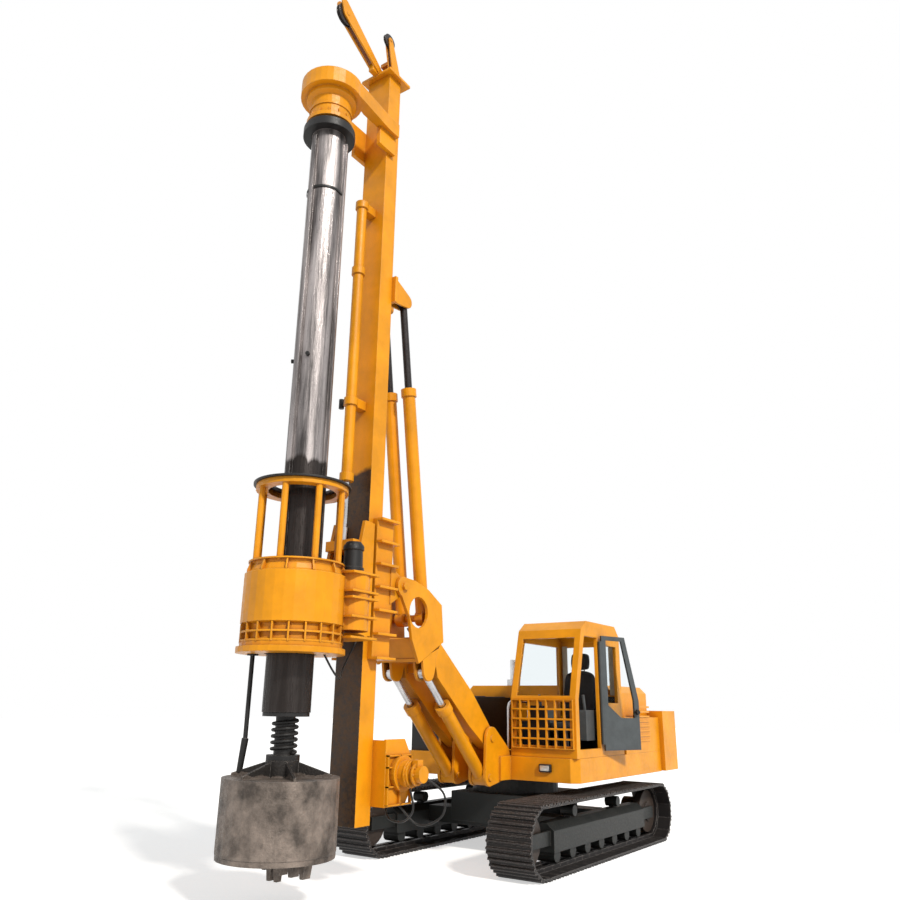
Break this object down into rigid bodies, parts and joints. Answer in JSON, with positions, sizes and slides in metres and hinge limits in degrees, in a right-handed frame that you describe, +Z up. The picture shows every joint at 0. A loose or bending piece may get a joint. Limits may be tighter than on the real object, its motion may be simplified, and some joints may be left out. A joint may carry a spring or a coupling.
{
  "type": "rotary piling rig",
  "caption": "Tracked drilling rig for bored piles: slewing cab and engine deck, luffing boom, raking mast, crowd slide, rotary drive, telescopic kelly bar and drilling bucket.",
  "frame": {"origin": "middle of the rig's footprint on the ground", "axes": "+Z up, -Y to the tool, +X to the machine's left, where the cab is"},
  "size_m": [3.2118, 8.35, 11.4],
  "materials": {
    "orange_paint": "satin, weathered",
    "black_steel": "satin black",
    "track_steel": "worn, soiled",
    "worn_steel": "scratched, brown-grey",
    "chrome": "polished",
    "grey_paint": "satin",
    "glazing": "clear",
    "cushion": "matt"
  },
  "bodies": {
    "undercarriage": {"car_body": "black_steel", "track_frame_left": "black_steel", "track_left": "track_steel", "idler_left": "black_steel", "sprocket_left": "track_steel", "track_frame_right": "black_steel", "track_right": "track_steel", "idler_right": "black_steel", "sprocket_right": "track_steel"},
    "upper": {"turntable": "orange_paint", "counterweight": "orange_paint", "engine_hood": "orange_paint", "engine_block": "black_steel", "fuel_tank": "orange_paint", "tool_box": "orange_paint", "exhaust": "chrome", "handrail": "grey_paint", "cab_frame": "orange_paint", "windscreen": "glazing", "right_window": "glazing", "side_window": "glazing", "rear_window": "glazing", "cab_guard": "orange_paint", "seat": "cushion", "console": "black_steel"},
    "cab_door": {"door_frame": "grey_paint", "door_glass": "glazing"},
    "boom": {"boom": "orange_paint"},
    "luff_barrels": {"luff_barrel_left": "orange_paint", "luff_barrel_right": "orange_paint"},
    "luff_rods": {"luff_rod_left": "chrome", "luff_rod_right": "chrome"},
    "rake_barrels": {"rake_barrel_left": "orange_paint", "rake_barrel_right": "orange_paint"},
    "rake_rods": {"rake_rod_left": "chrome", "rake_rod_right": "chrome"},
    "mast": {"mast_column": "orange_paint", "mast_cradle": "orange_paint", "rake_bracket": "orange_paint", "winch_frame": "orange_paint", "winch_motor": "grey_paint", "cathead": "orange_paint", "crowd_barrel": "orange_paint"},
    "winch_drum": {"winch_drum": "black_steel"},
    "main_sheave": {"main_sheave": "grey_paint"},
    "aux_sheave": {"aux_sheave": "grey_paint"},
    "rotary": {"rotary_housing": "orange_paint", "rotary_sledge": "orange_paint", "rotary_cage": "orange_paint", "rotary_motor_left": "black_steel", "rotary_motor_right": "black_steel", "crowd_rod": "chrome"},
    "drive_sleeve": {"drive_sleeve": "black_steel"},
    "guide_arm": {"kelly_guide": "orange_paint"},
    "outer_kelly": {"kelly_outer": "worn_steel"},
    "inner_kelly": {"kelly_inner": "worn_steel", "kelly_spring": "worn_steel", "bucket": "worn_steel"},
    "bucket_flap": {"bucket_flap": "worn_steel"}
  },
  "joints": [
    {"name": "slew", "type": "hinge", "parent": "undercarriage", "child": "upper", "pos_m": [-0.1059, 1.125, 0.97], "axis": [0, 0, 1], "continuous": true},
    {"name": "cab_door_hinge", "type": "hinge", "parent": "upper", "child": "cab_door", "pos_m": [1.3314, 1.095, 1.33], "axis": [0, 0, 1], "range_deg": [-160, 15]},
    {"name": "boom_luff", "type": "hinge", "parent": "upper", "child": "boom", "pos_m": [-0.1059, -0.145, 1.5], "axis": [1, 0, 0], "range_deg": [-13, 8]},
    {"name": "luff_barrel_pivot", "type": "hinge", "parent": "upper", "child": "luff_barrels", "pos_m": [-0.1059, -0.205, 1.02], "axis": [1, 0, 0], "range_deg": [-11, 7]},
    {"name": "luff_rod_slide", "type": "slide", "parent": "luff_barrels", "child": "luff_rods", "axis": [0, -0.7205, 0.6934], "range_m": [-0.06, 0.09]},
    {"name": "mast_rake", "type": "hinge", "parent": "boom", "child": "mast", "pos_m": [-0.1059, -2.095, 3.28], "axis": [1, 0, 0], "range_deg": [-15, 5]},
    {"name": "rake_barrel_pivot", "type": "hinge", "parent": "boom", "child": "rake_barrels", "pos_m": [-0.1059, -1.475, 2.97], "axis": [1, 0, 0], "range_deg": [-14, 5]},
    {"name": "rake_rod_slide", "type": "slide", "parent": "rake_barrels", "child": "rake_rods", "axis": [0, -0.1473, 0.9891], "range_m": [-0.17, 0.06]},
    {"name": "winch_spin", "type": "hinge", "parent": "mast", "child": "winch_drum", "pos_m": [-0.1059, -2.145, 1.18], "axis": [1, 0, 0], "continuous": true},
    {"name": "main_sheave_spin", "type": "hinge", "parent": "mast", "child": "main_sheave", "pos_m": [-0.1059, -3.445, 11.2], "axis": [1, 0, 0], "continuous": true},
    {"name": "aux_sheave_spin", "type": "hinge", "parent": "mast", "child": "aux_sheave", "pos_m": [0.1141, -2.735, 11.2], "axis": [1, 0, 0], "continuous": true},
    {"name": "crowd", "type": "slide", "parent": "mast", "child": "rotary", "axis": [0, 0, 1], "range_m": [-1.8, 0.5]},
    {"name": "drive_spin", "type": "hinge", "parent": "rotary", "child": "drive_sleeve", "pos_m": [-0.1059, -3.585, 2.46], "axis": [0, 0, 1], "continuous": true},
    {"name": "kelly_hoist", "type": "slide", "parent": "rotary", "child": "guide_arm", "axis": [0, 0, 1], "range_m": [-3.2, 0]},
    {"name": "kelly_spin", "type": "hinge", "parent": "guide_arm", "child": "outer_kelly", "pos_m": [-0.1059, -3.585, 10.05], "axis": [0, 0, 1], "continuous": true},
    {"name": "kelly_extend", "type": "slide", "parent": "outer_kelly", "child": "inner_kelly", "axis": [0, 0, 1], "range_m": [-6, 0]},
    {"name": "bucket_flap_hinge", "type": "hinge", "parent": "inner_kelly", "child": "bucket_flap", "pos_m": [-0.1059, -2.96, 0.54], "axis": [1, 0, 0], "range_deg": [0, 90]}
  ],
  "couplings": [
    {"joint": "luff_barrel_pivot", "follows": "boom_luff", "ratio": 0.82},
    {"joint": "luff_rod_slide", "follows": "boom_luff", "m_per_rad": -0.34},
    {"joint": "rake_barrel_pivot", "follows": "mast_rake", "ratio": 0.92},
    {"joint": "rake_rod_slide", "follows": "mast_rake", "m_per_rad": 0.605},
    {"joint": "kelly_spin", "follows": "drive_spin", "ratio": 1}
  ]
}
